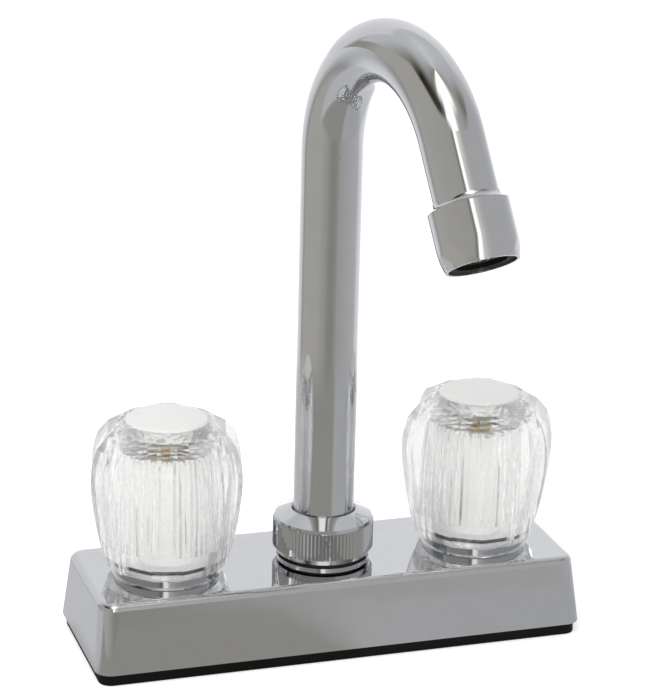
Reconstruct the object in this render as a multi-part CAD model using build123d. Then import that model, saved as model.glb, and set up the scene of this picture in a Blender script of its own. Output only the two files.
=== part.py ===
from build123d import *
import math
import os

# A two-handle bar faucet on a long deck cover, with a swivelling gooseneck spout and clear knobs.
# Sizes are millimetres. Z is up, and the origin is on the sink deck, midway between the two shanks.
# The user stands on the -Y side. The hot side is at -X and the cold side at +X.

# Deck cover and base plate
HANDLE_SPACING = 101.6
PLATE_THICKNESS = 3.8
PLATE_INSET = 1.3
COVER_OVERHANG = 28.0
COVER_WIDTH = 54.1
COVER_HEIGHT = 21.3
COVER_END_DRAFT = 2.0
COVER_SIDE_DRAFT = 3.8
COVER_CORNER_RADIUS = 5.2
COVER_EDGE_FILLET = 2.4
COVER_WALL = 2.2
HUB_RING_RADIUS = 14.6
HUB_RING_HEIGHT = 0.7
PLATE_RIB_HEIGHT = 3.0
PLATE_RIB_THICKNESS = 1.6

# Valve bodies with their threaded shanks
SHANK_RADIUS = 10.45
SHANK_LENGTH = 45.0
SHANK_BORE_RADIUS = 6.4
SHANK_CHAMFER = 1.2
COLLAR_RADIUS = 12.2
COLLAR_CLEARANCE = 0.3
BODY_RADIUS = 15.4
BODY_NECK_RADIUS = 13.8
BODY_NECK_HEIGHT = 1.9
BODY_FLOOR = 4.4
CHAMBER_RADIUS = 10.2
SEAT_OFFSET = 4.9
SEAT_POCKET_RADIUS = 4.5
SEAT_LEDGE = 1.4
PASSAGE_RADIUS = 3.0

# Bonnets that clamp the cover and hold the cartridges
BONNET_RADIUS = 16.3
BONNET_HEIGHT = 3.3
BONNET_ROOF = 1.2
BONNET_HOLE_GAP = 0.8
BONNET_COLLAR_RADIUS = 13.8
BONNET_COLLAR_HEIGHT = 1.9
BONNET_EDGE = 0.6
BONNET_FOOT_FLARE = 0.6

# Cartridges, stems, seats and springs
CARTRIDGE_WALL = 3.9
RUNNING_GAP = 0.05
FIXED_GAP = 0.1
DISC_THICKNESS = 2.6
DISC_PORT_RADIUS = 2.9
STEM_NECK_RADIUS = 3.0
SPLINE_RADIUS = 4.6
SPLINE_TEETH = 20
SPLINE_DEPTH = 0.35
STEM_TOP_ABOVE_DECK = 33.0
RING_SECTION = 1.6
RING_GROOVE = 1.9
STEM_RING_DROP = 4.0
SEAL_GAP = 0.02
SEAT_PROUD = 0.7
SEAT_HEIGHT = 3.4
SEAT_WALL = 1.7
SPRING_WIRE = 0.6
SPRING_HEIGHT = 3.0
SPRING_PITCH = 1.1

# Knobs, their liners, screws and index caps
KNOB_GAP = 0.3
KNOB_HEIGHT = 46.0
KNOB_RIDGES = 6
HOT_KNOB_PHASE = 15.8
COLD_KNOB_PHASE = 1.9
# The knob's outside is set at five levels. A rise is the level's height above the knob's foot, a
# radius is that of the ridges there, and a ridge angle is how wide each ridge is, in degrees.
KNOB_FOOT_RADIUS = 18.9
KNOB_FOOT_RIDGE_ANGLE = 24.0
KNOB_LOW_RISE = 8.0
KNOB_LOW_RADIUS = 21.3
KNOB_LOW_RIDGE_ANGLE = 28.0
KNOB_MIDDLE_RISE = 18.0
KNOB_MIDDLE_RADIUS = 23.1
KNOB_MIDDLE_RIDGE_ANGLE = 29.0
KNOB_BELLY_RISE = 29.0
KNOB_BELLY_RADIUS = 24.3
KNOB_BELLY_RIDGE_ANGLE = 23.0
KNOB_SHOULDER_RISE = 39.3
KNOB_SHOULDER_RADIUS = 22.6
KNOB_SHOULDER_RIDGE_ANGLE = 17.0
KNOB_BEVEL_RISE = 43.2
KNOB_BEVEL_RADIUS = 19.3
KNOB_MOUTH_RADIUS = 14.8
KNOB_ROOF = 5.0
KNOB_CAP_DEPTH = 5.2
KNOB_RIM = 1.6
RIB_COUNT = 48
RIB_DEPTH = 0.5
RIB_FOOT = 7.3
RIB_TAPER = 1.2
LINER_GAP = 0.35
LINER_WALL = 1.3
LINER_RISE = 2.9
LINER_HUB_RADIUS = 7.6
LINER_HUB_LENGTH = 20.0
LINER_ROOF = 2.0
SKIRT_RING_RADIUS = 12.2
SKIRT_RING_BORE = 5.0
SCREW_RADIUS = 2.0
SCREW_HEAD_RADIUS = 3.9
SCREW_HEAD_HEIGHT = 2.2
SCREW_LENGTH = 14.0
SCREW_SLOT = 1.0
CAP_RADIUS = 12.7
CAP_FLOOR_GAP = 0.2
CAP_CROWN = 1.5
CAP_POCKET_GAP = 0.5
CAP_EDGE = 0.5

# Spout hub, cross tubes and swivel joint
HUB_RADIUS = 14.6
HUB_FLOOR = 9.5
HUB_THREAD_RADIUS = 12.6
HUB_THREAD_HEIGHT = 10.6
HUB_SEAL_WIDTH = 1.1
HUB_SEAL_GAP = 0.2
CROSS_TUBE_RADIUS = 5.6
CROSS_BORE_RADIUS = 3.8
CROSS_HEIGHT = 14.6
NUT_RADIUS = 15.8
NUT_GAP = 1.3
NUT_HEIGHT = 14.0
NUT_FLUTES = 80
NUT_FLUTE_DEPTH = 0.55
NUT_FOOT_BAND = 1.6
NUT_FOOT_TAPER = 0.5
NUT_FLUTE_LENGTH = 8.7
NUT_CONE_DROP = 2.4
NUT_LIP_BEVEL = 0.5
NUT_LIP_GAP = 0.1
TUBE_CLEARANCE = 0.22
FOOT_BORE_RADIUS = 6.6
FOOT_DEPTH = 17.0
FOOT_FLANGE_RADIUS = 11.8
FOOT_FLANGE = 1.6
FOOT_SPIGOT = 7.0
FOOT_RING_DROP = 3.5
FOOT_RING_PITCH = 4.5
WASHER_THICKNESS = 1.0

# Gooseneck spout
TUBE_RADIUS = 9.5
TUBE_WALL = 1.0
SPOUT_TURN = 10.7
RISER_TOP = 156.3
BEND_RADIUS = 36.8
BEND_ANGLE = 149.3
LEG_LENGTH = 22.5

# Outlet tip and aerator, measured from where the tube ends inside the tip
TIP_RADIUS = 11.75
TIP_LENGTH = 19.5
TIP_OVERLAP = 5.5
TIP_NECK = 2.6
TIP_NECK_STEP = 0.25
TIP_NECK_HOLLOW = 0.75
TIP_NECK_SHARE = 0.62
TIP_MOUTH_RADIUS = 10.6
TIP_ROUND_LENGTH = 6.5
TIP_BORE_RADIUS = 9.75
AERATOR_WALL = 1.2
AERATOR_RECESS = 0.8
AERATOR_WASHER = 1.6
DIFFUSER_THICKNESS = 2.2
DIFFUSER_HOLES = 12
DIFFUSER_HOLE_RADIUS = 0.6
DIFFUSER_RING_SHARE = 0.62
SCREEN_THICKNESS = 0.6
SCREEN_PITCH = 2.2
SCREEN_HOLE = 1.5
SCREEN_RIM = 2.9
THREAD_GAP = 0.1

# How far a cutter runs on past a face, so that it cuts cleanly
CUT = 1.0

# Lengths and heights that follow from the sizes above
COVER_LENGTH = HANDLE_SPACING + 2 * COVER_OVERHANG
COVER_FOOT = PLATE_THICKNESS
DECK_TOP = PLATE_THICKNESS + COVER_HEIGHT
DECK_UNDER = DECK_TOP - COVER_WALL
NECK_TOP = DECK_TOP + BODY_NECK_HEIGHT
BONNET_TOP = DECK_TOP + BONNET_HEIGHT
COLLAR_TOP = BONNET_TOP + BONNET_COLLAR_HEIGHT
BONNET_ROOF_UNDER = BONNET_TOP - BONNET_ROOF
CHAMBER_FLOOR = PLATE_THICKNESS + BODY_FLOOR
SEAT_TOP = CHAMBER_FLOOR + SEAT_PROUD
SEAT_FOOT = SEAT_TOP - SEAT_HEIGHT
SPRING_TOP = SEAT_FOOT - RUNNING_GAP
SPRING_FOOT = SPRING_TOP - SPRING_HEIGHT
POCKET_FLOOR = SPRING_FOOT - RUNNING_GAP
SHANK_BORE_TOP = POCKET_FLOOR - SEAT_LEDGE
DISC_TOP = SEAT_TOP + RUNNING_GAP + DISC_THICKNESS
CARTRIDGE_FOOT = DISC_TOP + RUNNING_GAP
CARTRIDGE_TOP = BONNET_ROOF_UNDER - FIXED_GAP
CARTRIDGE_RADIUS = CHAMBER_RADIUS - FIXED_GAP
STEM_BORE_RADIUS = CHAMBER_RADIUS - CARTRIDGE_WALL
STEM_TOP = DECK_TOP + STEM_TOP_ABOVE_DECK
STEM_SHAFT_RADIUS = STEM_BORE_RADIUS - RUNNING_GAP
STEM_SHAFT_FOOT = CROSS_HEIGHT + CROSS_BORE_RADIUS
STEM_RING_HEIGHT = CARTRIDGE_TOP - STEM_RING_DROP
KNOB_FOOT = BONNET_TOP + KNOB_GAP
KNOB_TOP = KNOB_FOOT + KNOB_HEIGHT
CAP_SEAT = KNOB_TOP - KNOB_CAP_DEPTH
KNOB_ROOF_UNDER = CAP_SEAT - KNOB_ROOF
HUB_TOP = DECK_TOP + HUB_THREAD_HEIGHT
NUT_FOOT = DECK_TOP + HUB_RING_HEIGHT + NUT_GAP
NUT_TOP = NUT_FOOT + NUT_HEIGHT
FLANGE_FOOT = HUB_TOP + RUNNING_GAP
FLANGE_TOP = FLANGE_FOOT + FOOT_FLANGE
WASHER_FOOT = FLANGE_TOP + RUNNING_GAP
WASHER_TOP = WASHER_FOOT + WASHER_THICKNESS
NUT_LIP_UNDER = WASHER_TOP + NUT_LIP_GAP
HUB_BORE_RADIUS = TUBE_RADIUS + RUNNING_GAP
FOOT_BOTTOM = HUB_TOP - FOOT_DEPTH
TIP_TOP = LEG_LENGTH - TIP_OVERLAP
TIP_END = TIP_TOP + TIP_LENGTH
AERATOR_WASHER_TOP = LEG_LENGTH + FIXED_GAP
AERATOR_TOP = AERATOR_WASHER_TOP + AERATOR_WASHER
AERATOR_FOOT = TIP_END - AERATOR_RECESS
AERATOR_RADIUS = TIP_BORE_RADIUS - THREAD_GAP
AERATOR_BORE_RADIUS = AERATOR_RADIUS - AERATOR_WALL
DIFFUSER_RADIUS = AERATOR_BORE_RADIUS - FIXED_GAP


def write(name, shape):
    """Saves one piece as its own named file."""
    export_step(shape, os.path.join("parts", name + ".step"))


def tube(outer, inner, foot, top):
    """A plain ring about the Z axis, between two heights."""
    middle = (foot + top) / 2
    ring = Cylinder(outer, top - foot) - Cylinder(inner, top - foot)
    return Pos(0, 0, middle) * ring


def post(radius, foot, top):
    """A solid round post about the Z axis, between two heights."""
    return Pos(0, 0, (foot + top) / 2) * Cylinder(radius, top - foot)


def turned(*points):
    """A turned solid from radius and height pairs, closed back to its first point."""
    outline = make_face(Plane.XZ * Polyline(*points, close=True))
    return revolve(outline, Axis.Z)


def at_axis(side, shape):
    """Moves a piece from the origin to the handle axis on one side."""
    return Pos(side * HANDLE_SPACING / 2, 0, 0) * shape


def toothed_outline(count, outer, inner):
    """A closed star outline with equal pointed teeth, centred on the origin."""
    points = []
    for index in range(count):
        tip = math.radians(360 * index / count)
        root = math.radians(360 * (index + 0.5) / count)
        points.append((outer * math.cos(tip), outer * math.sin(tip)))
        points.append((inner * math.cos(root), inner * math.sin(root)))
    return Polyline(*points, close=True)


def cover_block(shrink, foot, top):
    """The cover's drafted block, drawn in on every side by shrink, cut between two heights."""
    sections = []
    for height in (foot, top):
        share = (height - COVER_FOOT) / COVER_HEIGHT
        length = COVER_LENGTH - 2 * (shrink + COVER_END_DRAFT * share)
        width = COVER_WIDTH - 2 * (shrink + COVER_SIDE_DRAFT * share)
        radius = COVER_CORNER_RADIUS - shrink
        sections.append(Pos(0, 0, height) * RectangleRounded(length, width, radius))
    return loft(sections, ruled=True)


def deck_cover():
    block = cover_block(0, COVER_FOOT, DECK_TOP)
    block = fillet(block.faces().sort_by(Axis.Z)[-1].edges(), COVER_EDGE_FILLET)
    hollow = cover_block(COVER_WALL, COVER_FOOT, DECK_UNDER)
    cover = block - hollow
    cover += post(HUB_RING_RADIUS, DECK_UNDER, DECK_TOP + HUB_RING_HEIGHT)
    cover -= post(HUB_THREAD_RADIUS + FIXED_GAP, DECK_UNDER - CUT, NUT_TOP)
    for side in (-1, 1):
        cover -= at_axis(side, post(BODY_NECK_RADIUS + FIXED_GAP, DECK_UNDER - CUT, BONNET_TOP))
    return cover


def base_plate():
    length = COVER_LENGTH - 2 * PLATE_INSET
    width = COVER_WIDTH - 2 * PLATE_INSET
    radius = COVER_CORNER_RADIUS - PLATE_INSET
    slab = extrude(RectangleRounded(length, width, radius), PLATE_THICKNESS)
    # The locating rib stands just inside the cover's wall.
    rib_gap = COVER_WALL + 2 * FIXED_GAP
    rib_top = PLATE_THICKNESS + PLATE_RIB_HEIGHT
    rib = cover_block(rib_gap, COVER_FOOT, rib_top)
    rib -= cover_block(rib_gap + PLATE_RIB_THICKNESS, COVER_FOOT, rib_top)
    plate = slab + rib
    for side in (-1, 1):
        plate -= at_axis(side, post(COLLAR_RADIUS + COLLAR_CLEARANCE, -CUT, rib_top))
    return plate


def valve_body(side):
    """Shank, barrel and neck in one casting, bored for the cartridge from above."""
    body = post(SHANK_RADIUS, -SHANK_LENGTH, 0)
    body = chamfer(body.edges().sort_by(Axis.Z)[0], SHANK_CHAMFER)
    body += post(COLLAR_RADIUS, 0, PLATE_THICKNESS)
    body += post(BODY_RADIUS, PLATE_THICKNESS, DECK_UNDER)
    body += post(BODY_NECK_RADIUS, DECK_UNDER, NECK_TOP)
    body -= post(CHAMBER_RADIUS, CHAMBER_FLOOR, NECK_TOP + CUT)
    body -= post(SHANK_BORE_RADIUS, -SHANK_LENGTH - CUT, SHANK_BORE_TOP)
    pocket = post(SEAT_POCKET_RADIUS, POCKET_FLOOR, CHAMBER_FLOOR + CUT)
    pocket += post(PASSAGE_RADIUS, SHANK_BORE_TOP - CUT, POCKET_FLOOR)
    body -= Pos(0, SEAT_OFFSET, 0) * pocket
    port = Pos(-side * BODY_RADIUS, 0, CROSS_HEIGHT) * Rot(0, 90, 0)
    body -= port * Cylinder(CROSS_BORE_RADIUS, 2 * BODY_RADIUS)
    # The cross tube is let into a socket halfway through the barrel's wall.
    return body - Pos(-side * HANDLE_SPACING / 2, 0, 0) * cross_tube_rod(side)


def cross_tube_rod(side):
    """The solid rod that one cross tube is made from, out to its seat in the valve body."""
    socket_depth = (BODY_RADIUS - CHAMBER_RADIUS) / 2
    end = HANDLE_SPACING / 2 - BODY_RADIUS + socket_depth
    length = end - HUB_BORE_RADIUS
    rod = Rot(0, 90, 0) * Cylinder(CROSS_TUBE_RADIUS, length)
    return Pos(side * (HUB_BORE_RADIUS + length / 2), 0, CROSS_HEIGHT) * rod


def spout_hub():
    """Centre casting with its two cross tubes, threaded above the deck for the spout nut."""
    hub = post(HUB_RADIUS, HUB_FLOOR - COVER_WALL, DECK_UNDER)
    hub += post(HUB_THREAD_RADIUS, DECK_UNDER, HUB_TOP)
    for side in (-1, 1):
        hub += cross_tube_rod(side)
    hub -= post(HUB_BORE_RADIUS, HUB_FLOOR, HUB_TOP + CUT)
    bore = Pos(0, 0, CROSS_HEIGHT) * Rot(0, 90, 0) * Cylinder(CROSS_BORE_RADIUS, HANDLE_SPACING)
    return hub - bore


def hub_seal():
    """Black ring that closes the gap under the spout nut, held on the hub's thread."""
    inner = HUB_THREAD_RADIUS + THREAD_GAP
    foot = DECK_TOP + HUB_RING_HEIGHT
    return tube(inner + HUB_SEAL_WIDTH, inner, foot, NUT_FOOT - HUB_SEAL_GAP)


def bonnet():
    """Chrome ring screwed over the body's neck, clamping the cover and keeping the cartridge down."""
    hole = STEM_BORE_RADIUS + BONNET_HOLE_GAP
    return turned(
        (hole, BONNET_ROOF_UNDER),
        (BODY_NECK_RADIUS + THREAD_GAP, BONNET_ROOF_UNDER),
        (BODY_NECK_RADIUS + THREAD_GAP, DECK_TOP),
        (BONNET_RADIUS + BONNET_FOOT_FLARE, DECK_TOP),
        (BONNET_RADIUS, DECK_TOP + BONNET_FOOT_FLARE),
        (BONNET_RADIUS, BONNET_TOP - BONNET_EDGE),
        (BONNET_RADIUS - BONNET_EDGE, BONNET_TOP),
        (BONNET_COLLAR_RADIUS, BONNET_TOP),
        (BONNET_COLLAR_RADIUS, COLLAR_TOP),
        (hole, COLLAR_TOP),
    )


def cartridge(side):
    """Fixed sleeve that guides the stem, with a window towards the cross tube."""
    sleeve = tube(CARTRIDGE_RADIUS, STEM_BORE_RADIUS, CARTRIDGE_FOOT, CARTRIDGE_TOP)
    window = Pos(-side * CARTRIDGE_RADIUS, 0, CROSS_HEIGHT) * Rot(0, 90, 0)
    return sleeve - window * Cylinder(CROSS_BORE_RADIUS, CARTRIDGE_RADIUS)


def stem(side):
    """Turning stem: a ported disc over the seat, a sealed shaft and a toothed end for the knob."""
    disc_foot = SEAT_TOP + RUNNING_GAP
    piece = post(CHAMBER_RADIUS - 2 * RUNNING_GAP, disc_foot, DISC_TOP)
    port = post(DISC_PORT_RADIUS, disc_foot - CUT, DISC_TOP + CUT)
    piece -= Pos(-side * SEAT_OFFSET, 0, 0) * port
    piece += post(STEM_NECK_RADIUS, DISC_TOP, STEM_SHAFT_FOOT)
    piece += post(STEM_SHAFT_RADIUS, STEM_SHAFT_FOOT, BONNET_TOP)
    piece -= ring_groove(STEM_SHAFT_RADIUS, STEM_RING_HEIGHT)
    teeth = make_face(toothed_outline(SPLINE_TEETH, SPLINE_RADIUS, SPLINE_RADIUS - SPLINE_DEPTH))
    piece += Pos(0, 0, BONNET_TOP) * extrude(teeth, STEM_TOP - BONNET_TOP)
    return piece - post(SCREW_RADIUS, STEM_TOP - SCREW_LENGTH, STEM_TOP + CUT)


def ring_groove(shaft_radius, height):
    """The ring of space cut into a shaft for one seal ring."""
    half = RING_GROOVE / 2
    return tube(shaft_radius + CUT, shaft_radius - RING_SECTION, height - half, height + half)


def seal_ring(shaft_radius, bore_radius, height):
    """Round rubber ring that fills the space between a groove's floor and the bore around it."""
    inner = shaft_radius - RING_SECTION + SEAL_GAP
    outer = bore_radius - SEAL_GAP
    return Pos(0, 0, height) * Torus((inner + outer) / 2, (outer - inner) / 2)


def valve_seat():
    """Rubber cup that the spring holds up against the stem's disc."""
    radius = SEAT_POCKET_RADIUS - FIXED_GAP
    return Pos(0, SEAT_OFFSET, 0) * tube(radius, radius - SEAT_WALL, SEAT_FOOT, SEAT_TOP)


def seat_spring():
    """Short wire spring under the seat."""
    centre = SEAT_POCKET_RADIUS - FIXED_GAP - SPRING_WIRE
    path = Helix(SPRING_PITCH, SPRING_HEIGHT - SPRING_WIRE, centre)
    section = Plane(path @ 0, z_dir=path % 0) * Circle(SPRING_WIRE / 2)
    return Pos(0, SEAT_OFFSET, SPRING_FOOT + SPRING_WIRE / 2) * sweep(section, path=path)


def ridged_outline(rise, radius, ridge_angle):
    """Closed outline with narrow flats at the ridges and wide flats between them, at one level."""
    points = []
    for index in range(KNOB_RIDGES):
        for offset in (-ridge_angle / 2, ridge_angle / 2):
            turn = math.radians(360 * index / KNOB_RIDGES + offset)
            points.append((radius * math.cos(turn), radius * math.sin(turn), KNOB_FOOT + rise))
    return make_face(Polyline(*points, close=True))


def knob():
    """Clear knob: six narrow ridges with wide flats between, hollow below with fine inner ribs."""
    shoulder = ridged_outline(KNOB_SHOULDER_RISE, KNOB_SHOULDER_RADIUS, KNOB_SHOULDER_RIDGE_ANGLE)
    levels = [
        ridged_outline(0, KNOB_FOOT_RADIUS, KNOB_FOOT_RIDGE_ANGLE),
        ridged_outline(KNOB_LOW_RISE, KNOB_LOW_RADIUS, KNOB_LOW_RIDGE_ANGLE),
        ridged_outline(KNOB_MIDDLE_RISE, KNOB_MIDDLE_RADIUS, KNOB_MIDDLE_RIDGE_ANGLE),
        ridged_outline(KNOB_BELLY_RISE, KNOB_BELLY_RADIUS, KNOB_BELLY_RIDGE_ANGLE),
        shoulder,
    ]
    outside = loft(levels)
    bevel = ridged_outline(KNOB_BEVEL_RISE, KNOB_BEVEL_RADIUS, KNOB_SHOULDER_RIDGE_ANGLE)
    rim = ridged_outline(KNOB_HEIGHT, CAP_RADIUS + KNOB_RIM, KNOB_SHOULDER_RIDGE_ANGLE)
    outside += loft([shoulder, bevel, rim], ruled=True)
    rib_foot = KNOB_FOOT + RIB_FOOT
    mouth = post(KNOB_MOUTH_RADIUS, KNOB_FOOT - CUT, rib_foot)
    lower_outline = toothed_outline(RIB_COUNT, KNOB_MOUTH_RADIUS, KNOB_MOUTH_RADIUS - RIB_DEPTH)
    upper_radius = KNOB_MOUTH_RADIUS - RIB_TAPER
    upper_outline = toothed_outline(RIB_COUNT, upper_radius, upper_radius - RIB_DEPTH)
    lower = Pos(0, 0, rib_foot) * make_face(lower_outline)
    upper = Pos(0, 0, KNOB_ROOF_UNDER) * make_face(upper_outline)
    ribbed = loft([lower, upper], ruled=True)
    recess = post(CAP_RADIUS + FIXED_GAP, CAP_SEAT, KNOB_TOP + CUT)
    hole = post(SCREW_RADIUS + FIXED_GAP, KNOB_ROOF_UNDER - CUT, CAP_SEAT + CUT)
    return outside - mouth - ribbed - recess - hole


def knob_liner():
    """White cup inside the knob, with the toothed hub that grips the stem."""
    top = KNOB_ROOF_UNDER - FIXED_GAP
    foot = KNOB_FOOT + LINER_RISE
    top_radius = KNOB_MOUTH_RADIUS - RIB_TAPER - RIB_DEPTH - LINER_GAP
    foot_radius = KNOB_MOUTH_RADIUS - RIB_DEPTH - LINER_GAP
    cup = turned(
        (0, top),
        (top_radius, top),
        (foot_radius, foot),
        (foot_radius - LINER_WALL, foot),
        (top_radius - LINER_WALL, top - LINER_ROOF),
        (0, top - LINER_ROOF),
    )
    cup += post(LINER_HUB_RADIUS, top - LINER_HUB_LENGTH, top - LINER_ROOF)
    socket = make_face(
        toothed_outline(SPLINE_TEETH, SPLINE_RADIUS + FIXED_GAP, SPLINE_RADIUS - SPLINE_DEPTH + FIXED_GAP)
    )
    cup -= Pos(0, 0, foot) * extrude(socket, STEM_TOP + FIXED_GAP - foot)
    return cup - post(SCREW_RADIUS + FIXED_GAP, STEM_TOP - CUT, top + CUT)


def skirt_ring():
    """Black rubber ring on the bonnet that keeps dirt out of the knob."""
    return tube(SKIRT_RING_RADIUS, SKIRT_RING_BORE, COLLAR_TOP, KNOB_FOOT + LINER_RISE - KNOB_GAP)


def knob_screw():
    """Slotted screw that holds the knob down on the stem."""
    foot = STEM_TOP - SCREW_LENGTH + CUT
    screw = post(SCREW_RADIUS, foot, CAP_SEAT)
    screw += post(SCREW_HEAD_RADIUS, CAP_SEAT, CAP_SEAT + SCREW_HEAD_HEIGHT)
    head_top = CAP_SEAT + SCREW_HEAD_HEIGHT
    slot = Box(3 * SCREW_HEAD_RADIUS, SCREW_SLOT, SCREW_HEAD_HEIGHT)
    return screw - Pos(0, 0, head_top) * slot


def index_cap():
    """Frosted domed button that snaps into the top of the knob, hollow over the screw's head."""
    foot = CAP_SEAT + CAP_FLOOR_GAP
    edge = KNOB_TOP
    crown = edge + CAP_CROWN
    pocket_radius = SCREW_HEAD_RADIUS + CAP_POCKET_GAP
    pocket_top = CAP_SEAT + SCREW_HEAD_HEIGHT + CAP_POCKET_GAP
    with BuildPart() as cap:
        with BuildSketch(Plane.XZ):
            with BuildLine():
                dome_foot = (CAP_RADIUS - CAP_EDGE, edge + CAP_EDGE)
                chord = dome_foot[0]
                rise = crown - dome_foot[1]
                sphere = (chord**2 + rise**2) / (2 * rise)
                half = chord / 2
                half_height = crown - sphere + math.sqrt(sphere**2 - half**2)
                ThreePointArc((0, crown), (half, half_height), dome_foot)
                Line(dome_foot, (CAP_RADIUS, edge))
                Line((CAP_RADIUS, edge), (CAP_RADIUS, foot))
                Line((CAP_RADIUS, foot), (pocket_radius, foot))
                Line((pocket_radius, foot), (pocket_radius, pocket_top))
                Line((pocket_radius, pocket_top), (0, pocket_top))
                Line((0, pocket_top), (0, crown))
            make_face()
        revolve(axis=Axis.Z)
    return cap.part


def spout_nut():
    """Fluted swivel nut, threaded over the hub, with a cone and lip that keep the spout down."""
    flute_foot = NUT_FOOT + NUT_FOOT_BAND
    root = NUT_RADIUS - NUT_FLUTE_DEPTH
    hole = TUBE_RADIUS + TUBE_CLEARANCE
    shell = turned(
        (hole, NUT_FOOT),
        (root - NUT_FOOT_TAPER, NUT_FOOT),
        (root, flute_foot),
        (root, NUT_TOP - NUT_CONE_DROP),
        (hole + NUT_LIP_BEVEL, NUT_TOP),
        (hole, NUT_TOP - NUT_LIP_BEVEL),
    )
    teeth = make_face(toothed_outline(NUT_FLUTES, NUT_RADIUS, root))
    shell += Pos(0, 0, flute_foot) * extrude(teeth, NUT_FLUTE_LENGTH)
    return shell - post(HUB_THREAD_RADIUS + THREAD_GAP, NUT_FOOT - CUT, NUT_LIP_UNDER)


def foot_ring_heights():
    """Heights of the two seal rings on the spout's foot."""
    upper = HUB_TOP - FOOT_RING_DROP
    return (upper - FOOT_RING_PITCH, upper)


def spout_foot():
    """Brass end of the spout, grooved for two seal rings and flanged under the nut."""
    foot = turned(
        (FOOT_BORE_RADIUS, FOOT_BOTTOM),
        (TUBE_RADIUS, FOOT_BOTTOM),
        (TUBE_RADIUS, FLANGE_FOOT),
        (FOOT_FLANGE_RADIUS, FLANGE_FOOT),
        (FOOT_FLANGE_RADIUS, FLANGE_TOP),
        (TUBE_RADIUS - TUBE_WALL, FLANGE_TOP),
        (TUBE_RADIUS - TUBE_WALL, FLANGE_TOP + FOOT_SPIGOT),
        (FOOT_BORE_RADIUS, FLANGE_TOP + FOOT_SPIGOT),
    )
    for height in foot_ring_heights():
        foot -= ring_groove(TUBE_RADIUS, height)
    return foot


def spout_rings():
    """The two rubber rings on the spout's foot, kept together as one piece of the list."""
    rings = [seal_ring(TUBE_RADIUS, HUB_BORE_RADIUS, height) for height in foot_ring_heights()]
    return Compound(children=rings)


def swivel_washer():
    """Slippery ring between the spout's flange and the nut's lip."""
    outer = HUB_THREAD_RADIUS - FIXED_GAP
    return tube(outer, TUBE_RADIUS + TUBE_CLEARANCE, WASHER_FOOT, WASHER_TOP)


def spout_direction():
    """Level direction in which the spout points at rest, turned from the front towards the cold side."""
    turn = math.radians(SPOUT_TURN)
    return Vector(math.sin(turn), -math.cos(turn), 0)


def spout_points():
    """Top of the riser, middle and end of the bend, and the direction of the falling leg."""
    out = spout_direction()
    up = Vector(0, 0, 1)
    top = up * RISER_TOP

    def on_bend(degrees):
        angle = math.radians(degrees)
        return top + out * (BEND_RADIUS * (1 - math.cos(angle))) + up * (BEND_RADIUS * math.sin(angle))

    angle = math.radians(BEND_ANGLE)
    leg = out * math.sin(angle) + up * math.cos(angle)
    return top, on_bend(BEND_ANGLE / 2), on_bend(BEND_ANGLE), leg


def spout_tube():
    top, middle, end, leg = spout_points()
    start = Vector(0, 0, FLANGE_TOP)
    riser = Line(start, top)
    bend = ThreePointArc(top, middle, end)
    fall = Line(end, end + leg * LEG_LENGTH)
    path = Wire([riser, bend, fall])
    ring = Pos(0, 0, FLANGE_TOP) * (Circle(TUBE_RADIUS) - Circle(TUBE_RADIUS - TUBE_WALL))
    return sweep(ring, path=path)


def on_leg(shape):
    """Moves a piece built along Z so that it lies along the falling leg, from the end of the bend."""
    end, leg = spout_points()[2:]
    across = Vector(0, 0, 1).cross(spout_direction())
    return Plane(origin=end, x_dir=across, z_dir=leg).location * shape


def spout_tip():
    """Outlet sleeve brazed over the tube's end, drawn in at its mouth."""
    tube_end = LEG_LENGTH
    with BuildPart() as tip:
        with BuildSketch(Plane.XZ):
            with BuildLine():
                neck_foot = (TUBE_RADIUS + TIP_NECK_STEP, TIP_TOP)
                hollow = (TUBE_RADIUS + TIP_NECK_HOLLOW, TIP_TOP + TIP_NECK_SHARE * TIP_NECK)
                neck_top = (TIP_RADIUS, TIP_TOP + TIP_NECK)
                round_start = (TIP_RADIUS, TIP_END - TIP_ROUND_LENGTH)
                mouth = (TIP_MOUTH_RADIUS, TIP_END)
                Line((TUBE_RADIUS, TIP_TOP), neck_foot)
                ThreePointArc(neck_foot, hollow, neck_top)
                Line(neck_top, round_start)
                TangentArc(round_start, mouth, tangent=(0, 1))
                Line(mouth, (TIP_BORE_RADIUS, TIP_END))
                Line((TIP_BORE_RADIUS, TIP_END), (TIP_BORE_RADIUS, tube_end))
                Line((TIP_BORE_RADIUS, tube_end), (TUBE_RADIUS, tube_end))
                Line((TUBE_RADIUS, tube_end), (TUBE_RADIUS, TIP_TOP))
            make_face()
        revolve(axis=Axis.Z)
    return on_leg(tip.part)


def aerator_housing():
    """Threaded ring that holds the aerator's parts inside the outlet tip."""
    ring = tube(AERATOR_RADIUS, AERATOR_BORE_RADIUS, AERATOR_TOP, AERATOR_FOOT)
    lip_radius = AERATOR_BORE_RADIUS - AERATOR_WALL
    lip = tube(AERATOR_BORE_RADIUS, lip_radius, AERATOR_FOOT - AERATOR_WALL, AERATOR_FOOT)
    return on_leg(ring + lip)


def aerator_washer():
    """Rubber ring pressed between the tube's end and the aerator."""
    inner = AERATOR_BORE_RADIUS - AERATOR_WALL
    return on_leg(tube(AERATOR_RADIUS, inner, AERATOR_WASHER_TOP, AERATOR_TOP))


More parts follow.
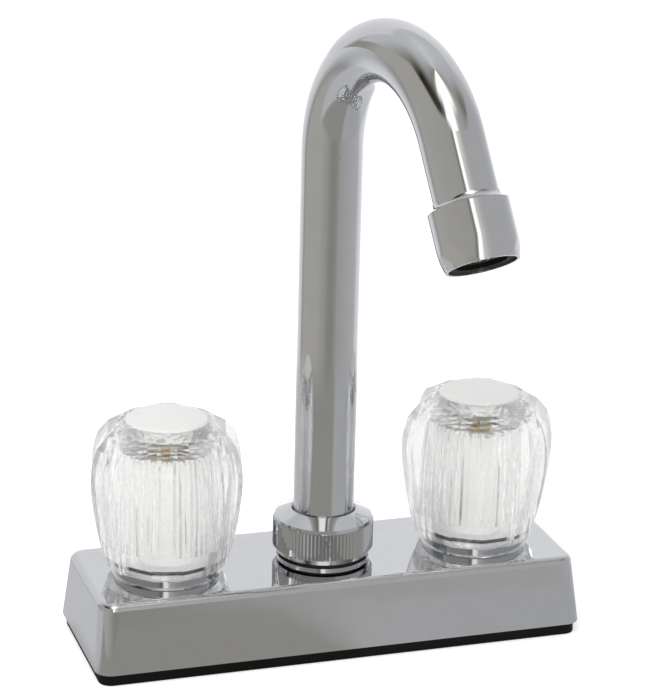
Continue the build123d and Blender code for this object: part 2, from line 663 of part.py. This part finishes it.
def aerator_diffuser():
    """Plastic plate with a ring of small holes that breaks up the stream."""
    plate_foot = AERATOR_TOP + DIFFUSER_THICKNESS
    plate = post(DIFFUSER_RADIUS, AERATOR_TOP, plate_foot)
    reach = DIFFUSER_RING_SHARE * DIFFUSER_RADIUS
    for index in range(DIFFUSER_HOLES):
        turn = math.radians(360 * index / DIFFUSER_HOLES)
        drill = post(DIFFUSER_HOLE_RADIUS, AERATOR_TOP - CUT, plate_foot + CUT)
        plate -= Pos(reach * math.cos(turn), reach * math.sin(turn), 0) * drill
    return on_leg(plate)


def aerator_screen():
    """Disc with square holes that closes the mouth of the aerator."""
    seat = AERATOR_FOOT - AERATOR_WALL
    disc = post(DIFFUSER_RADIUS, seat - SCREEN_THICKNESS, seat)
    reach = DIFFUSER_RADIUS - SCREEN_RIM
    steps = int(reach // SCREEN_PITCH)
    holes = []
    for row in range(-steps, steps + 1):
        for column in range(-steps, steps + 1):
            place = (row * SCREEN_PITCH, column * SCREEN_PITCH)
            if math.hypot(*place) <= reach:
                cutter = Box(SCREEN_HOLE, SCREEN_HOLE, CUT)
                holes.append(Pos(*place, seat) * cutter)
    return on_leg(disc - holes)


def main():
    os.makedirs("parts", exist_ok=True)
    singles = {
        "deck_cover": deck_cover(),
        "base_plate": base_plate(),
        "spout_hub": spout_hub(),
        "hub_seal": hub_seal(),
        "spout_nut": spout_nut(),
        "swivel_washer": swivel_washer(),
        "spout_foot": spout_foot(),
        "spout_rings": spout_rings(),
        "spout_tube": spout_tube(),
        "spout_tip": spout_tip(),
        "aerator_housing": aerator_housing(),
        "aerator_washer": aerator_washer(),
        "aerator_diffuser": aerator_diffuser(),
        "aerator_screen": aerator_screen(),
    }
    for name, shape in singles.items():
        write(name, shape)
    alike = {
        "bonnet": bonnet(),
        "stem_ring": seal_ring(STEM_SHAFT_RADIUS, STEM_BORE_RADIUS, STEM_RING_HEIGHT),
        "valve_seat": valve_seat(),
        "seat_spring": seat_spring(),
        "knob_screw": knob_screw(),
        "skirt_ring": skirt_ring(),
        "index_cap": index_cap(),
    }
    clear_knob = knob()
    liner = knob_liner()
    for name, side, phase in (("hot", -1, HOT_KNOB_PHASE), ("cold", 1, COLD_KNOB_PHASE)):
        write(name + "_valve_body", at_axis(side, valve_body(side)))
        write(name + "_cartridge", at_axis(side, cartridge(side)))
        write(name + "_stem", at_axis(side, stem(side)))
        write(name + "_knob", at_axis(side, Rot(0, 0, phase) * clear_knob))
        write(name + "_knob_liner", at_axis(side, liner))
        for piece, shape in alike.items():
            write(name + "_" + piece, at_axis(side, shape))


main()
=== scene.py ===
# %% [markdown]
# # A chrome bar faucet with clear knobs
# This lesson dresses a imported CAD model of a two-handle bar faucet. The CAD solids already have
# the right sizes and joints, so Blender's work is the finishes, the fine detail that plating,
# moulding and turning leave, and a plain studio. Chrome shows only what stands around it, and
# clear acrylic shows only what it bends, so much of the lesson is about what they can see.

# %% Load the frame
import math

import bpy
from mathutils import Matrix, Vector

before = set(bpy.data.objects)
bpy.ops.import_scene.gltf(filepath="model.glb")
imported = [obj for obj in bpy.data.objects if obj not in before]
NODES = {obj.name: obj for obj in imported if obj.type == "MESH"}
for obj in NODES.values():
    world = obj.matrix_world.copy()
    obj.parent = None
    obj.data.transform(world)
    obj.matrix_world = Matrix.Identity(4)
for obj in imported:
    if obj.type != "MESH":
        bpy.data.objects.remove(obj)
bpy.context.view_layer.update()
MM = 0.001

# %% [markdown]
# ## Colours and nodes
# Colours are picked as sRGB hex, the way a colour chart gives them, but shaders work on linear
# light, so one function converts them. The other adds a node, sets its properties and inputs
# and links it, so that every material below reads as a short list.


# %% Colour and node helpers
def linear(hex_colour):
    """sRGB hex to the linear colour that a shader socket wants, by the standard's own curve."""
    channels = [int(hex_colour[i:i + 2], 16) / 255 for i in (1, 3, 5)]
    light = [c / 12.92 if c <= 0.04045 else ((c + 0.055) / 1.055) ** 2.4 for c in channels]
    return (*light, 1.0)


def add(tree, kind, inputs=None, **settings):
    """Adds a node. inputs maps a socket's name or index to a value, or to another node's output."""
    node = tree.nodes.new(kind)
    for name, value in settings.items():
        setattr(node, name, value)
    for name, value in (inputs or {}).items():
        if isinstance(value, bpy.types.NodeSocket):
            tree.links.new(value, node.inputs[name])
        else:
            node.inputs[name].default_value = value
    return node


print("the grey #808080 is", round(linear("#808080")[0], 3), "in linear light")

# %% [markdown]
# ## From a finish to a piece
# No surface is the same all over. The gloss of every finish here, and the colour of most, wanders
# a little over a noise whose size is that of the real mark, such as a grain or a wipe. So one
# function starts a material, one mottles it and one puts it on the CAD nodes. A metal or acrylic
# starts from the typical roughness of its finish, which the mottling then spreads over a range.
# A pixel of the render is about a third of a millimetre wide at the faucet, and a mark finer than
# that is drawn as coarse as it needs to show.


# %% Material helpers
def finish(name, **surface):
    """Starts a material: returns it, its node tree and its shader with the given sockets set."""
    material = bpy.data.materials.new(name)
    material.use_nodes = True
    tree = material.node_tree
    shader = tree.nodes["Principled BSDF"]
    for socket, value in surface.items():
        shader.inputs[socket.replace("_", " ")].default_value = value
    return material, tree, shader


def mottle(tree, shader, size_mm, detail, gloss, tints=None):
    """Varies gloss, and colour between two tints, over a noise. Returns its place and strength."""
    place = add(tree, "ShaderNodeTexCoord").outputs["Object"]
    noise = add(tree, "ShaderNodeTexNoise", {
        "Vector": place, "Scale": 1 / (size_mm * MM), "Detail": detail}).outputs["Fac"]
    rough = add(tree, "ShaderNodeMapRange", {
        "Value": noise, "To Min": gloss[0], "To Max": gloss[1]})
    tree.links.new(rough.outputs["Result"], shader.inputs["Roughness"])
    if tints:
        tint = add(tree, "ShaderNodeMix", {
            "Factor": noise, 6: linear(tints[0]), 7: linear(tints[1])}, data_type="RGBA")
        tree.links.new(tint.outputs[2], shader.inputs["Base Color"])
    return place, noise


def dress(material, *names):
    """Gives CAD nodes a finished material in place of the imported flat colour."""
    for name in names:
        for slot in NODES[name].material_slots:
            slot.material = material
    print(material.name, "on", ", ".join(names))


def both(*pieces):
    """The hot and the cold side's node names of each piece."""
    return [side + "_" + piece for side in ("hot", "cold") for piece in pieces]


print("both knobs:", both("knob"))

# %% [markdown]
# ## Decorative chrome
# The cover, bonnets, nut, tube and tip carry a thin bright chromium layer over nickel. It
# reflects a little over half of the light, slightly more of the blue, so against a white room it
# reads as a light grey. The polish before plating leaves a faint waviness a centimetre or so
# across, which makes reflected edges wander, and wiping leaves a slightly uneven gloss. The cast
# cover keeps more of the waviness than the drawn tube and the turned rings do.

# %% Chrome plate
WAVE_MM = 14.0
WIPE_MM = 6.0
TUBE_WAVE_HEIGHT_MM = 0.02
CAST_WAVE_HEIGHT_MM = 0.05


def bright_chrome(name, wave_height_mm):
    """Chrome plate over a polished surface that is wavy by the given height."""
    material, tree, shader = finish(name, Metallic=1.0, Roughness=0.05)
    place, _ = mottle(
        tree, shader, WIPE_MM, detail=4.0, gloss=(0.03, 0.07), tints=("#C2C3C4", "#C8CACD"))
    wave = add(tree, "ShaderNodeTexNoise", {
        "Vector": place, "Scale": 1 / (WAVE_MM * MM), "Detail": 1.0})
    bump = add(tree, "ShaderNodeBump", {
        "Height": wave.outputs["Fac"], "Distance": wave_height_mm * MM, "Strength": 1.0})
    tree.links.new(bump.outputs["Normal"], shader.inputs["Normal"])
    return material


drawn_chrome = bright_chrome("chrome_plate_on_drawn_tube", TUBE_WAVE_HEIGHT_MM)
cast_chrome = bright_chrome("chrome_plate_on_casting", CAST_WAVE_HEIGHT_MM)
dress(drawn_chrome, "spout_tube", "spout_tip", "spout_nut", *both("bonnet"))
dress(cast_chrome, "deck_cover")

# %% [markdown]
# ## Black base plate
# The plate under the cover is moulded ABS with a spark-eroded tool texture, a fine even grain
# that takes the shine off black plastic. It is too fine to show, so it is drawn about a third of
# a millimetre wide. The specular level is lowered partly for the grain's pits and partly as
# painted shade, since the plate sits in shadow under the cover. The aerator's housing is the same.


# %% Moulded black ABS
def moulded(name, tints, gloss, grain_mm, depth_mm, **surface):
    """Plastic or rubber whose skin copies the grain of its tool."""
    material, tree, shader = finish(name, IOR=1.54, **surface)
    _, grain = mottle(tree, shader, grain_mm, detail=2.0, gloss=gloss, tints=tints)
    bump = add(tree, "ShaderNodeBump", {
        "Height": grain, "Distance": depth_mm * MM, "Strength": 1.0})
    tree.links.new(bump.outputs["Normal"], shader.inputs["Normal"])
    return material


# The specular level of 0.2 is partly painted shade for the plate in the cover's shadow.
black_abs = moulded(
    "abs_black_moulded", tints=("#050506", "#0E0E0F"), gloss=(0.45, 0.6),
    grain_mm=0.35, depth_mm=0.01, Specular_IOR_Level=0.2)
dress(black_abs, "base_plate", "aerator_housing")

# %% [markdown]
# ## White plastics
# The liners show through the clear knobs as a bright white, so their gloss matters. It is faintly
# uneven at about a millimetre, as the mould was polished. Acetal, the slippery plastic of the
# cartridges, washer and diffuser, is turned, and so duller. It is also a little warmer.

# %% White liners and acetal
white_liner = moulded(
    "polystyrene_white_moulded", tints=("#D9D9D7", "#E1E1DF"), gloss=(0.22, 0.32),
    grain_mm=1.2, depth_mm=0.004)
dress(white_liner, *both("knob_liner"))
acetal = moulded(
    "acetal_white_machined", tints=("#DCDBD6", "#E6E5E1"), gloss=(0.35, 0.45),
    grain_mm=0.8, depth_mm=0.006)
dress(acetal, "swivel_washer", "aerator_diffuser", *both("cartridge"))

# %% [markdown]
# ## Clear acrylic knobs
# The knobs are injection-moulded PMMA with an IOR of 1.49. Everything that they show is bent
# white background, the liner inside and the edges of the ribs. Moulding leaves faint flow
# ripples a few millimetres apart, which make the sparkle irregular. A path tracer gives up on
# light that bounces too often inside clear plastic, so a fifth of it goes straight through.

# %% Clear acrylic
FLOW_MM = 3.5
FLOW_DEPTH_MM = 0.02
STRAIGHT_THROUGH = 0.2
clear, tree, shader = finish(
    "acrylic_clear_moulded", IOR=1.49, Roughness=0.02, Base_Color=linear("#FFFFFF"),
    Transmission_Weight=1.0, Alpha=1 - STRAIGHT_THROUGH)
place, flow = mottle(tree, shader, FLOW_MM, detail=2.0, gloss=(0.0, 0.04))
ripples = add(tree, "ShaderNodeBump", {
    "Height": flow, "Distance": FLOW_DEPTH_MM * MM, "Strength": 1.0})
dress(clear, *both("knob"))

# %% [markdown]
# ## The cut seat in each knob's top
# The seat that the cap drops into is cut in small facets, which break up whatever lies behind
# them. Object coordinates are the whole faucet's at rest, and they turn with a knob. Its axis is
# upright and half the handle spacing from the middle, so the distance from that axis and the
# height pick out the seat. Voronoi cells stand in for the facets, since the eye only sees them as
# sparkle.

# %% Where the seat is
KNOB_AXIS_MM = 50.8
SEAT_RADIUS_MM = 14.9
SEAT_FOOT_MM = 64.0
spot = add(tree, "ShaderNodeSeparateXYZ", {0: place})
aside = add(tree, "ShaderNodeMath", {0: spot.outputs["X"]}, operation="ABSOLUTE")
from_axis = add(tree, "ShaderNodeMath", {
    0: aside.outputs[0], 1: KNOB_AXIS_MM * MM}, operation="SUBTRACT")
level = add(tree, "ShaderNodeCombineXYZ", {"X": from_axis.outputs[0], "Y": spot.outputs["Y"]})
reach = add(tree, "ShaderNodeVectorMath", {0: level.outputs[0]}, operation="LENGTH")
within = add(tree, "ShaderNodeMath", {
    0: reach.outputs["Value"], 1: SEAT_RADIUS_MM * MM}, operation="LESS_THAN")
above = add(tree, "ShaderNodeMath", {
    0: spot.outputs["Z"], 1: SEAT_FOOT_MM * MM}, operation="GREATER_THAN")
seat = add(tree, "ShaderNodeMath", {
    0: within.outputs[0], 1: above.outputs[0]}, operation="MULTIPLY")
print("seat within", SEAT_RADIUS_MM, "mm of each knob's axis, above", SEAT_FOOT_MM, "mm")

# %% [markdown]
# The facets are a bump of half a millimetre over cells two and a half across. It adds to the
# moulding's ripples, and its strength is nought away from the seat.

# %% Facets of the seat
FACET_MM = 2.5
FACET_DEPTH_MM = 0.5
facet = add(tree, "ShaderNodeTexVoronoi", {"Vector": place, "Scale": 1 / (FACET_MM * MM)})
facets = add(tree, "ShaderNodeBump", {
    "Height": facet.outputs["Distance"], "Distance": FACET_DEPTH_MM * MM,
    "Strength": seat.outputs[0], "Normal": ripples.outputs["Normal"]})
tree.links.new(facets.outputs["Normal"], shader.inputs["Normal"])
print(clear.name, "has", len(tree.nodes), "nodes")

# %% [markdown]
# ## Frosted index caps
# The caps are the same acrylic, blasted to a soft white on the tool. They scatter light below
# the surface and let some through, so their edges are nearly as pale as their tops. The blasting
# is a little uneven, which mottles them faintly at about a millimetre.

# %% Frosted acrylic
FROST_MM = 1.1
SCATTER_MM = 3.0
frosted, tree, shader = finish(
    "acrylic_frosted_moulded", IOR=1.49, Roughness=0.3, Transmission_Weight=0.1,
    Subsurface_Weight=0.5, Subsurface_Radius=(SCATTER_MM * MM,) * 3)
mottle(
    tree, shader, FROST_MM, detail=3.0, gloss=(0.22, 0.42), tints=("#EEECE9", "#FFFFFE"))
dress(frosted, *both("index_cap"))

# %% [markdown]
# ## Brass
# The valve bodies, hub, stems, spout foot and knob screws are brass, cast or drawn and then
# turned where they fit. Grains of sand, over half a millimetre wide, leave a soft roughness on a
# casting. The stems' teeth and the screws glint through the clear knobs, and the shanks show when
# the faucet is out of its sink.

# %% Cast brass
SAND_MM = 0.6
brass, tree, shader = finish("brass_cast_and_turned", Metallic=1.0, Roughness=0.3)
mottle(tree, shader, SAND_MM, detail=3.0, gloss=(0.24, 0.42), tints=("#C9A968", "#DCC48A"))
dress(brass, "spout_hub", "spout_foot", *both("valve_body", "stem", "knob_screw"))

# %% [markdown]
# ## Rubber
# The seals are black nitrile rubber, moulded with a fine dull skin that is drawn half a
# millimetre coarse so that it shows. Dark rings of it show under the nut. The skirt rings at the
# knobs' feet are painted shade: black rubber put into the shaded gap under each knob, so that it
# shows dark through them.

# %% Nitrile rubber
rubber = moulded(
    "nitrile_rubber_moulded", tints=("#101010", "#1C1C1C"), gloss=(0.6, 0.75),
    grain_mm=0.5, depth_mm=0.01)
# The skirt rings stand in for the shade in the gap under each knob.
dress(rubber, "spout_rings", "hub_seal", "aerator_washer",
      *both("stem_ring", "valve_seat", "skirt_ring"))

# %% [markdown]
# ## Steel
# The springs and the aerator's screen are made of stainless steel wire, in which the drawing die
# leaves hair-fine streaks. A pixel can't show those, so specks a third of a millimetre wide
# stand in for them. Only the screen is ever seen, from below.

# %% Stainless steel
DRAW_MM = 0.3
steel, tree, shader = finish(
    "stainless_steel_drawn", Metallic=1.0, Roughness=0.3, Base_Color=linear("#B9B8B5"))
mottle(tree, shader, DRAW_MM, detail=2.0, gloss=(0.22, 0.38))
dress(steel, "aerator_screen", *both("seat_spring"))

# %% [markdown]
# ## The room that the chrome sees
# A mirror finish shows how bright its surroundings are in every direction, so the room is
# planned by azimuth: 0 is in front, and positive turns to the right. Each entry of a plan is an
# azimuth in degrees, the brightness there against white paper, and how warm it is: 0 is cool, 1
# is warm and more is brown.
#
# - The walls are grey paper, with the lit gap between them in front and white paper behind.
# - Above the walls the room is dark, deep brown on the left, and the big lamp hangs in front.
# - Higher up the lamp and the pale ceiling take over.
#
# The last plan says how high the wall reaches, as the sine of its elevation.

# %% The room's plans
WALLS = [
    (-180, 0.98, 0), (-150, 0.90, 0), (-146, 0.42, 1), (-140, 0.42, 1), (-134, 0.56, 1),
    (-90, 0.54, 1), (-32, 0.50, 1), (-26, 0.30, 2), (-22, 0.42, 1), (-19, 1.95, 0.5),
    (-12, 1.95, 0.5), (-7, 0.95, 0.5), (6, 0.70, 0.5), (18, 0.60, 0.5), (90, 0.60, 0),
    (110, 0.68, 0), (120, 0.88, 0), (152, 1.05, 0), (180, 0.98, 0),
]
ABOVE_WALLS = [
    (-180, 0.78, 0), (-140, 0.75, 0), (-122, 0.45, 1), (-108, 0.20, 3), (-95, 0.035, 5),
    (-50, 0.07, 4), (-38, 0.30, 1), (-32, 1.60, 0.5), (-26, 1.95, 0.5), (0, 1.95, 0.5),
    (8, 0.90, 0.5), (16, 0.60, 0.5), (40, 0.50, 1), (68, 0.25, 1.5), (84, 0.40, 1),
    (100, 0.64, 0), (130, 0.77, 0), (180, 0.78, 0),
]
CEILING = [
    (-180, 0.92, 0), (-120, 0.68, 0), (-85, 0.45, 1), (-68, 0.33, 2), (-58, 0.60, 1),
    (-50, 1.80, 0.5), (-44, 1.95, 0.5), (22, 1.95, 0.5), (32, 0.90, 0.5), (50, 0.47, 1),
    (80, 0.65, 0), (180, 0.92, 0),
]
WALL_TOP = [
    (-180, 0.63, 0), (-152, 0.63, 0), (-146, 0.09, 0), (-112, 0.62, 0), (-60, 0.62, 0),
    (-40, 0.66, 0), (25, 0.66, 0), (60, 0.62, 0), (180, 0.62, 0),
]
print("stops:", [len(plan) for plan in (WALLS, ABOVE_WALLS, CEILING, WALL_TOP)])

# %% [markdown]
# The floor has two plans, which paint its light and shade as the chrome sees it: the walls shade
# it further out, while close to the faucet its left end stands on bright paper.

# %% The floor's plans
FAR_FLOOR = [
    (-180, 1.45, 0), (-168, 1.05, 0), (-143, 0.88, 0), (-131, 0.45, 0.5), (-122, 0.57, 1),
    (-60, 0.56, 1), (-34, 0.46, 1), (-20, 0.37, 1), (-8, 0.36, 1), (2, 0.40, 1),
    (12, 0.51, 0.6), (46, 0.58, 0.2), (88, 0.66, 0), (100, 0.93, 0), (124, 1.10, 0),
    (138, 1.50, 0), (180, 1.45, 0),
]
NEAR_FLOOR = [
    (-180, 0.90, 0), (-150, 0.72, 0), (-84, 0.72, 0), (-76, 0.42, 1), (-34, 0.41, 1),
    (8, 0.41, 1), (16, 0.58, 0.3), (60, 0.57, 0), (85, 0.60, 0), (100, 0.80, 0),
    (180, 0.90, 0),
]
print("stops:", len(FAR_FLOOR), len(NEAR_FLOOR))

# %% [markdown]
# A colour ramp holds a plan. Its position is the azimuth of a point or a direction, and each
# stop's colour lies between a cool and a warm white.

# %% A plan as a ramp
WARM = Vector((1.03, 1.0, 0.93))
COOL = Vector((1.0, 1.0, 1.02))
HALF_TURN = 180
FULL_TURN = 360


def by_azimuth(tree, x, y, plan):
    """A ramp that gives the planned light towards the direction (x, y)."""
    front = add(tree, "ShaderNodeMath", {0: y, 1: -1.0}, operation="MULTIPLY")
    turn = add(tree, "ShaderNodeMath", {0: x, 1: front.outputs[0]}, operation="ARCTAN2")
    share = add(tree, "ShaderNodeMapRange", {
        "Value": turn.outputs[0], "From Min": -math.pi, "From Max": math.pi})
    ramp = add(tree, "ShaderNodeValToRGB", {"Fac": share.outputs["Result"]})
    stops = ramp.color_ramp.elements
    for azimuth, brightness, warmth in plan:
        if abs(azimuth) == HALF_TURN:
            stop = stops[0 if azimuth < 0 else -1]
        else:
            stop = stops.new((azimuth + HALF_TURN) / FULL_TURN)
        stop.color = (*(COOL.lerp(WARM, warmth) * brightness), 1.0)
    return ramp.outputs["Color"]


print("warm white", [round(v, 2) for v in WARM], "cool white", [round(v, 2) for v in COOL])

# %% [markdown]
# ## Who sees what
# The photograph's ground and background are plain white, while its chrome mirrors a grey room, so
# floor and room answer each kind of ray in its own way. The lamps' light falls on the plain
# surface, and the camera sees white. Through the clear knobs they are a little below white, and
# they give the white parts inside back the lamplight that a path tracer loses in clear plastic.
# Metal mirrors the plans.

# %% Sorting the rays
THROUGH_CLEAR = 0.97
LOST_LIGHT = 0.4


def sorted_rays(tree, glow_kind, plain, to_camera, to_metal):
    """Joins the shaders for each kind of ray, with a soft white of glow_kind for clear plastic."""
    rays = add(tree, "ShaderNodeLightPath")
    clear_ray = add(tree, "ShaderNodeMath", {
        0: rays.outputs["Transmission Depth"], 1: 0.0}, operation="GREATER_THAN")
    metal_ray = add(tree, "ShaderNodeMath", {
        0: rays.outputs["Is Glossy Ray"], 1: clear_ray.outputs[0]},
        operation="SUBTRACT", use_clamp=True)
    scattered = add(tree, "ShaderNodeMath", {
        0: rays.outputs["Diffuse Depth"], 1: 0.0}, operation="GREATER_THAN")
    given_back = add(tree, "ShaderNodeMapRange", {
        "Value": scattered.outputs[0],
        "To Min": THROUGH_CLEAR, "To Max": THROUGH_CLEAR + LOST_LIGHT})
    soft_white = add(tree, glow_kind, {
        "Color": linear("#FFFFFF"), "Strength": given_back.outputs["Result"]})
    joined = plain
    for is_kind, shader in (
            (rays.outputs["Is Camera Ray"], to_camera),
            (clear_ray.outputs[0], soft_white),
            (metal_ray.outputs[0], to_metal)):
        joined = add(tree, "ShaderNodeMixShader", {
            0: is_kind, 1: joined.outputs[0], 2: shader.outputs[0]})
    return joined.outputs[0]


print("clear plastic passes", THROUGH_CLEAR, "and gives back", LOST_LIGHT)

# %% [markdown]
# ## The floor
# The floor is one large square of paper just under the plate. It stays out of the model, since
# it only belongs to the studio.

# %% Floor mesh
FLOOR_HALF = 6.0
FLOOR_DROP = 0.2 * MM
CORNERS = ((-1, -1), (1, -1), (1, 1), (-1, 1))
floor_mesh = bpy.data.meshes.new("floor")
floor_mesh.from_pydata(
    [(x * FLOOR_HALF, y * FLOOR_HALF, -FLOOR_DROP) for x, y in CORNERS], [], [(0, 1, 2, 3)])
floor = bpy.data.objects.new("floor", floor_mesh)
bpy.context.scene.collection.objects.link(floor)
print("floor", 2 * FLOOR_HALF, "m square,", FLOOR_DROP / MM, "mm down")

# %% [markdown]
# To the camera the paper is lit white with a small glow that carries it to full white where
# nothing shades it, so the faucet's shadow stays. In the chrome it is a glow with painted shade:
# it shows its near plan close to the faucet and its far plan further out, and a painted contact
# shadow darkens it in the last few millimetres before it meets the plate.

# %% White paper
GLOW = 0.42
CONTACT_SHADOW = 8.0 * MM
CONTACT_SAMPLES = 4
NEAR_EDGE = 0.22
FAR_EDGE = 0.30
paper = bpy.data.materials.new("white_paper_floor")
paper.use_nodes = True
tree = paper.node_tree
tree.nodes.clear()
lit = add(tree, "ShaderNodeBsdfDiffuse", {"Color": linear("#F2F2F2")})
glow = add(tree, "ShaderNodeEmission", {"Color": linear("#FFFFFF"), "Strength": GLOW})
carried = add(tree, "ShaderNodeAddShader", {0: lit.outputs[0], 1: glow.outputs[0]})
position = add(tree, "ShaderNodeNewGeometry").outputs["Position"]
spot = add(tree, "ShaderNodeSeparateXYZ", {0: position})
away = add(tree, "ShaderNodeVectorMath", {0: position}, operation="LENGTH")
further = add(tree, "ShaderNodeMapRange", {
    "Value": away.outputs["Value"], "From Min": NEAR_EDGE, "From Max": FAR_EDGE},
    interpolation_type="SMOOTHSTEP")
near, far = (
    by_azimuth(tree, spot.outputs["X"], spot.outputs["Y"], plan)
    for plan in (NEAR_FLOOR, FAR_FLOOR))
ground = add(tree, "ShaderNodeMix", {
    "Factor": further.outputs["Result"], 6: near, 7: far}, data_type="RGBA")
# Painted contact shadow: the glow that metal sees darkens within a few millimetres of the plate.
painted_contact_shadow = add(tree, "ShaderNodeAmbientOcclusion", {
    "Distance": CONTACT_SHADOW}, samples=CONTACT_SAMPLES)
planned = add(tree, "ShaderNodeEmission", {
    "Color": ground.outputs[2], "Strength": painted_contact_shadow.outputs["AO"]})
surface = sorted_rays(tree, "ShaderNodeEmission", lit, carried, planned)
add(tree, "ShaderNodeOutputMaterial", {"Surface": surface})
floor_mesh.materials.append(paper)
print(paper.name, "has", len(tree.nodes), "nodes")

# %% [markdown]
# ## The room
# Metal sees the room's plans. The height of a direction, as the sine of its elevation, says which
# one: the walls give way to what is above them at the planned wall top, and that gives way to the
# ceiling near the lamp.

# %% The planned room
WALL_FADE = 0.08
LAMP_FOOT = 0.77
LAMP_TOP = 0.95
world = bpy.data.worlds.new("soft_room")
bpy.context.scene.world = world
world.use_nodes = True
tree = world.node_tree
tree.nodes.clear()
way = add(tree, "ShaderNodeSeparateXYZ", {0: add(tree, "ShaderNodeTexCoord").outputs["Generated"]})
x, y, z = (way.outputs[axis] for axis in "XYZ")
low, middle, high, wall_top = (
    by_azimuth(tree, x, y, plan) for plan in (WALLS, ABOVE_WALLS, CEILING, WALL_TOP))
over = add(tree, "ShaderNodeMath", {0: z, 1: wall_top}, operation="SUBTRACT")
past_wall = add(tree, "ShaderNodeMapRange", {
    "Value": over.outputs[0], "From Min": 0.0, "From Max": WALL_FADE},
    interpolation_type="SMOOTHSTEP")
past_lamp = add(tree, "ShaderNodeMapRange", {
    "Value": z, "From Min": LAMP_FOOT, "From Max": LAMP_TOP}, interpolation_type="SMOOTHSTEP")
lower = add(tree, "ShaderNodeMix", {
    "Factor": past_wall.outputs["Result"], 6: low, 7: middle}, data_type="RGBA")
whole = add(tree, "ShaderNodeMix", {
    "Factor": past_lamp.outputs["Result"], 6: lower.outputs[2], 7: high}, data_type="RGBA")
planned = add(tree, "ShaderNodeBackground", {"Color": whole.outputs[2], "Strength": 1.0})
print(world.name, "has", len(tree.nodes), "nodes for its plans")

# %% [markdown]
# Everything else is lit by an even soft white, and the camera sees the background at full white.

# %% The soft room
ROOM_LIGHT = 0.68
even = add(tree, "ShaderNodeBackground", {"Color": linear("#FFFFFF"), "Strength": ROOM_LIGHT})
white = add(tree, "ShaderNodeBackground", {"Color": linear("#FFFFFF"), "Strength": 1.0})
surface = sorted_rays(tree, "ShaderNodeBackground", even, white, planned)
add(tree, "ShaderNodeOutputWorld", {"Surface": surface})
print("room light", ROOM_LIGHT)

# %% [markdown]
# ## The lamps
# One large soft lamp stands high on the left and a smaller one behind the camera. Mirrors show
# the planned room instead of them.

# %% Lamps
AIM = Vector((0.0, -0.02, 0.12))


def soft_lamp(name, azimuth, elevation, distance, width, height, watts):
    """A rectangular lamp that faces the faucet, in degrees, metres and watts, unseen by mirrors."""
    a, e = math.radians(azimuth), math.radians(elevation)
    way = Vector((math.sin(a) * math.cos(e), -math.cos(a) * math.cos(e), math.sin(e)))
    light = bpy.data.lights.new(name, "AREA")
    light.shape = "RECTANGLE"
    light.size, light.size_y = width, height
    light.energy = watts
    lamp = bpy.data.objects.new(name, light)
    bpy.context.scene.collection.objects.link(lamp)
    lamp.location = AIM + way * distance
    lamp.rotation_mode = "QUATERNION"
    lamp.rotation_quaternion = (-way).to_track_quat("-Z", "Y")
    lamp.visible_glossy = False
    print(name, [round(v, 3) for v in lamp.location])


soft_lamp("key_softbox", azimuth=-50, elevation=50, distance=1.6, width=0.9, height=0.9, watts=9)
soft_lamp(
    "fill_behind_camera", azimuth=-20, elevation=45, distance=1.8, width=0.5, height=0.9, watts=4)

# %% [markdown]
# ## The camera
# The place, tilt and lens come from fitting the base's edges, the knobs' axes and the spout in
# the photograph, so the render can be laid over it.

# %% Camera
AZIMUTH, ELEVATION, ROLL = -18.342, 18.483, 1.488
TARGET = Vector((1.362, -0.888, 92.945)) * MM
DISTANCE = 0.81968
FOCAL_PIXELS = 2663.5
LONG_SIDE_PIXELS = 700
SENSOR = 36.0
CLIP_START, CLIP_END = 0.01, 50.0
a, e, r = (math.radians(v) for v in (AZIMUTH, ELEVATION, ROLL))
back = Vector((math.sin(a) * math.cos(e), -math.cos(a) * math.cos(e), math.sin(e)))
level = Vector((0, 0, 1)).cross(back).normalized()
upright = back.cross(level)
right = math.cos(r) * level + math.sin(r) * upright
up = -math.sin(r) * level + math.cos(r) * upright
eye = bpy.data.objects.new("camera", bpy.data.cameras.new("camera"))
bpy.context.scene.collection.objects.link(eye)
eye.data.sensor_width = SENSOR
eye.data.lens = FOCAL_PIXELS * SENSOR / LONG_SIDE_PIXELS
eye.data.clip_start, eye.data.clip_end = CLIP_START, CLIP_END
facing = Matrix((right, up, back)).transposed().to_4x4()
eye.matrix_world = Matrix.Translation(TARGET + back * DISTANCE) @ facing
bpy.context.scene.camera = eye
print("camera at", [round(v, 4) for v in eye.matrix_world.translation])

# %% [markdown]
# ## Finish
# Standard view transform keeps each colour as it was picked.

# %% Finish
bpy.context.scene.view_settings.view_transform = "Standard"
